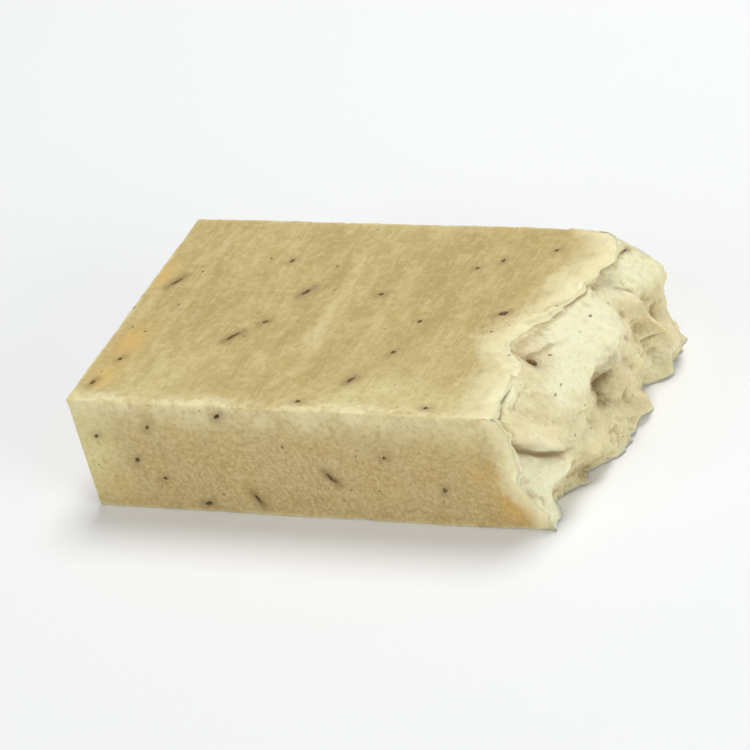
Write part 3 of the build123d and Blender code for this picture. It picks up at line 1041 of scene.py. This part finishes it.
def sliver(middle, along, outwards, length, across, seed):
    # An ellipse carried along a bowed line, thick in the middle and blunt at its ends, its edge uneven.
    random = np.random.default_rng(seed)
    u = np.linspace(0, 1, herb["turnsAlong"])[:, None]
    v = np.linspace(0, 2 * np.pi, herb["turnsAround"], endpoint=False)[None]
    full = np.maximum(np.sin(np.pi * u), herb["tip"]) ** 0.55
    waves = np.sin(u * random.uniform(5, 11) + v + random.uniform(0, 6))
    uneven = 1 + herb["unevenness"] * waves * random.uniform(0.4, 1)
    half = across / 2 * random.uniform(1.0, 1.35)
    bow = herb["bend"] * length * random.uniform(-1, 1) * np.sin(np.pi * u)
    sideways = np.cross(outwards, along)
    thick = half * herb["fatness"] * random.uniform(0.8, 1.3)
    proud = 0 if outwards[2] < -0.5 else herb["proud"]  # nothing stands out of the face that it rests on
    lean = random.uniform(-0.6, 0) * proud
    offSide = bow + half * full * uneven * np.cos(v)
    offOut = proud - thick + lean * np.abs(u - 0.5) * 2 + thick * full * np.sin(v)
    steps = np.stack(np.broadcast_arrays((u - 0.5) * length, offSide, offOut), -1)
    return (middle + steps @ np.stack([along, sideways, outwards])).reshape(-1, 3)


print("making the herb")
slivers = [sliver(*bit, seed) for seed, bit in enumerate(herbBits, herb["firstSeed"])]
turnsAlong, turnsAround = herb["turnsAlong"], herb["turnsAround"]
tubeIds = np.arange(turnsAlong * turnsAround).reshape(turnsAlong, turnsAround)
tubeFaces = [face for i in range(turnsAlong - 1) for face in ringFaces(tubeIds[i], tubeIds[i + 1]).tolist()]
tubeFaces += [tubeIds[0][::-1].tolist(), tubeIds[-1].tolist()]
firstCorners = range(0, len(slivers) * tubeIds.size, tubeIds.size)
herbFaces = [[corner + first for corner in face] for first in firstCorners for face in tubeFaces]
makePiece("herbFlecks", np.concatenate(slivers), herbFaces, "herb_flecks", makeHerbMaterial())


# Floor, light and camera

stage = {
    "floorSize": 3.0,
    "floorGlow": 0.05,  # what only the camera sees, so that the floor is white there
    "worldStrength": 0.30,
    "cameraPlace": (0.3267, -0.5385, 0.4091),
    "cameraTarget": (-0.0009, -0.0015, 0.011),
    "cameraRight": (0.8971, 0.379, -0.2271),
    "lens": 209.6,
}

floorFinish = {
    "Base Color": (0.84, 0.855, 0.88, 1),
    "Roughness": 0.6,
    "Specular IOR Level": 0.2,
    "Emission Color": (1, 1, 1, 1),
}

# Lamps: name, place, target, size, power and tone
lamps = [
    ("overhead", (0.02, 0.28, 0.75), (0, 0, 0), 0.42, 4.0, (1.0, 0.99, 0.96)),
    ("leftFill", (-0.5, -0.7, 0.35), (0, 0, 0.01), 0.7, 1.9, (1.0, 0.99, 0.98)),
    ("rightFill", (0.74, -0.34, 0.22), (0, 0, 0.01), 0.5, 3.2, (1.0, 0.99, 0.96)),
]


def seenDirectly(tree):
    # 1 for the camera and for what gloss and glass show, 0 for light that falls on things.
    path = addNode(tree, "LightPath")
    seen = calculate(tree, "MAXIMUM", path.outputs["Is Camera Ray"], path.outputs["Is Glossy Ray"])
    return calculate(tree, "MAXIMUM", seen, path.outputs["Is Transmission Ray"])


def makeFloor():
    half = stage["floorSize"] / 2
    mesh = bpy.data.meshes.new("floor")
    corners = [(-half, -half, 0), (half, -half, 0), (half, half, 0), (-half, half, 0)]
    mesh.from_pydata(corners, [], [(0, 1, 2, 3)])
    floor = newObject("floor", mesh)
    material, tree, shader = newMaterial("paleFloor", floorFinish)
    glow = rescale(tree, seenDirectly(tree), 0, 1, 0, stage["floorGlow"], False)
    feed(tree, shader.inputs["Emission Strength"], glow)
    mesh.materials.append(material)


def makeLamp(name, place, target, size, power, tone):
    light = bpy.data.lights.new(name, "AREA")
    light.shape, light.size, light.energy, light.color = "DISK", size, power, tone
    lamp = newObject(name, light)
    lamp.location = place
    lamp.rotation_euler = (Vector(target) - Vector(place)).to_track_quat("-Z", "Y").to_euler()


def makeCamera():
    place, target = Vector(stage["cameraPlace"]), Vector(stage["cameraTarget"])
    backwards = (place - target).normalized()
    right = Vector(stage["cameraRight"])
    right = (right - backwards * right.dot(backwards)).normalized()
    turned = Matrix((right, backwards.cross(right), backwards)).transposed().to_4x4()
    camera = newObject("camera", bpy.data.cameras.new("camera"))
    camera.data.lens = stage["lens"]
    camera.data.clip_start = 0.05
    camera.matrix_world = Matrix.Translation(place) @ turned
    bpy.context.scene.camera = camera


def makeWorld():
    world = bpy.data.worlds.new("whiteRoom")
    world.use_nodes = True
    tree = world.node_tree
    background = tree.nodes["Background"]
    background.inputs["Color"].default_value = (1, 1, 1, 1)
    strength = rescale(tree, seenDirectly(tree), 0, 1, stage["worldStrength"], 1.0, False)
    feed(tree, background.inputs["Strength"], strength)
    bpy.context.scene.world = world


print("making the stage")
makeFloor()
for lamp in lamps:
    makeLamp(*lamp)
makeCamera()
makeWorld()
bpy.context.scene.view_settings.view_transform = "Standard"
